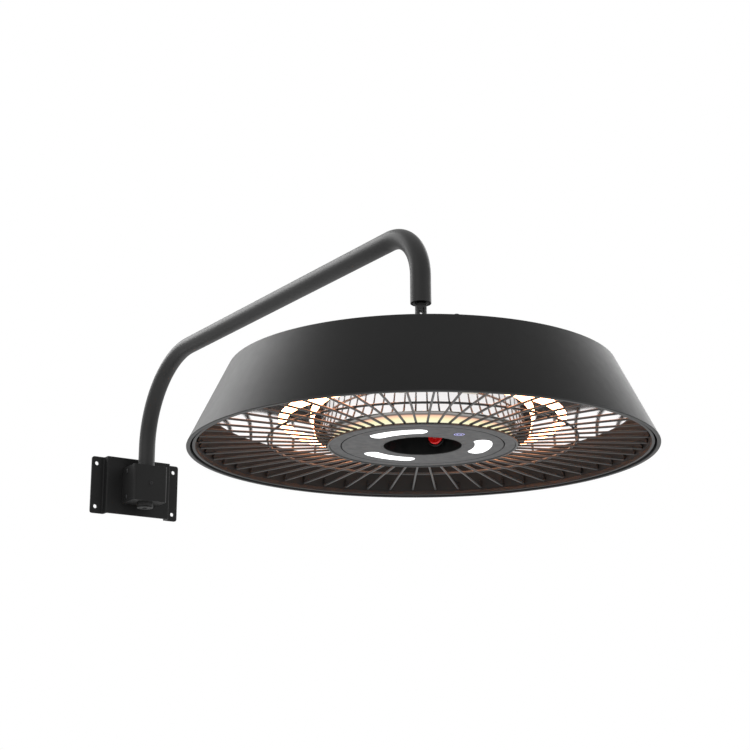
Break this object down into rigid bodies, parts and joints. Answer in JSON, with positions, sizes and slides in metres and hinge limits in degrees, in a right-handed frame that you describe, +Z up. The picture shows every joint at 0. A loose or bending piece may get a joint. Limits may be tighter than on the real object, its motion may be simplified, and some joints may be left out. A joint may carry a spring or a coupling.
{
  "type": "wall-mounted pendant patio heater",
  "caption": "Wall-mounted electric patio heater: swing arm, swivel neck and a hanging conical shade with guarded ring lamps, lights and a switch in its hub.",
  "frame": {"origin": "middle of the wall plate's hole pattern, on the wall behind the flanges", "axes": "+Z up, +X to the right for someone facing the wall, -Y out of the wall"},
  "size_m": [0.6042, 1.1585, 0.3241],
  "materials": {
    "plate_black": "matt powder coat",
    "tube_black": "fine textured powder coat",
    "shade_black": "matt powder coat",
    "block_steel": "machined",
    "screw_black": "blackened",
    "nylon": "moulded",
    "liner_brown": "satin",
    "reflector": "polished",
    "housing_black": "matt",
    "hub_black": "satin",
    "recess_black": "moulded",
    "diffuser": "translucent",
    "lens": "opal",
    "key_blue": "smooth",
    "button_red": "smooth",
    "circuit_board": "solder mask",
    "wire_black": "satin",
    "lamp_quartz": "clear tube with a glowing filament",
    "ceramic": "unglazed ceramic"
  },
  "bodies": {
    "wall": {"wall_plate": "plate_black", "arm_bracket": "plate_black", "pivot_block": "block_steel", "upper_bush": "nylon", "lower_bush": "nylon", "clamp_screw": "screw_black", "bracket_screw_left_lower": "screw_black", "bracket_screw_left_upper": "screw_black", "bracket_screw_right_lower": "screw_black", "bracket_screw_right_upper": "screw_black"},
    "arm": {"arm_tube": "tube_black", "stop_collar": "block_steel", "arm_end_cap": "nylon", "drop_end_plug": "block_steel"},
    "neck": {"swivel_fork": "tube_black", "neck_washer": "nylon", "neck_nut": "block_steel", "hanger_pin": "block_steel", "pin_clip": "block_steel"},
    "button": {"power_button": "button_red"},
    "head": {"hanger_tang": "tube_black", "shade": "shade_black", "top_cover": "shade_black", "top_cap": "shade_black", "heat_shield": "block_steel", "housing_post_1": "block_steel", "housing_post_2": "block_steel", "housing_post_3": "block_steel", "top_screw_1": "screw_black", "top_screw_2": "screw_black", "top_screw_3": "screw_black", "top_screw_4": "screw_black", "top_screw_5": "screw_black", "top_screw_6": "screw_black", "switch_body": "nylon", "terminal_block": "nylon", "liner": "liner_brown", "reflector": "reflector", "hub_cone": "reflector", "hub_housing": "housing_black", "hub_ring": "hub_black", "hub_panel": "hub_black", "recess_cup": "recess_black", "switch_collar": "recess_black", "light_ring": "diffuser", "led_lens_1": "lens", "led_lens_2": "lens", "led_lens_3": "lens", "touch_key": "key_blue", "led_board": "circuit_board", "control_board": "circuit_board", "guard_grille": "wire_black", "heating_lamp_1": "lamp_quartz", "heating_lamp_2": "lamp_quartz", "lamp_holder_1a": "ceramic", "lamp_holder_1b": "ceramic", "lamp_holder_2a": "ceramic", "lamp_holder_2b": "ceramic"}
  },
  "joints": [
    {"name": "arm_swing", "type": "hinge", "parent": "wall", "child": "arm", "pos_m": [0, -0.045, 0], "axis": [0, 0, 1], "range_deg": [-60, 60]},
    {"name": "neck_swivel", "type": "hinge", "parent": "arm", "child": "neck", "pos_m": [0, -0.856, 0.11], "axis": [0, 0, 1], "range_deg": [-90, 90]},
    {"name": "head_tilt", "type": "hinge", "parent": "neck", "child": "head", "pos_m": [0, -0.856, 0.078], "axis": [0.8695, -0.4939, 0], "range_deg": [-20, 20]},
    {"name": "power_press", "type": "slide", "parent": "head", "child": "button", "axis": [0.8625, 0.506, 0], "range_m": [0, 0.003], "stiffness_N_per_m": 300}
  ]
}
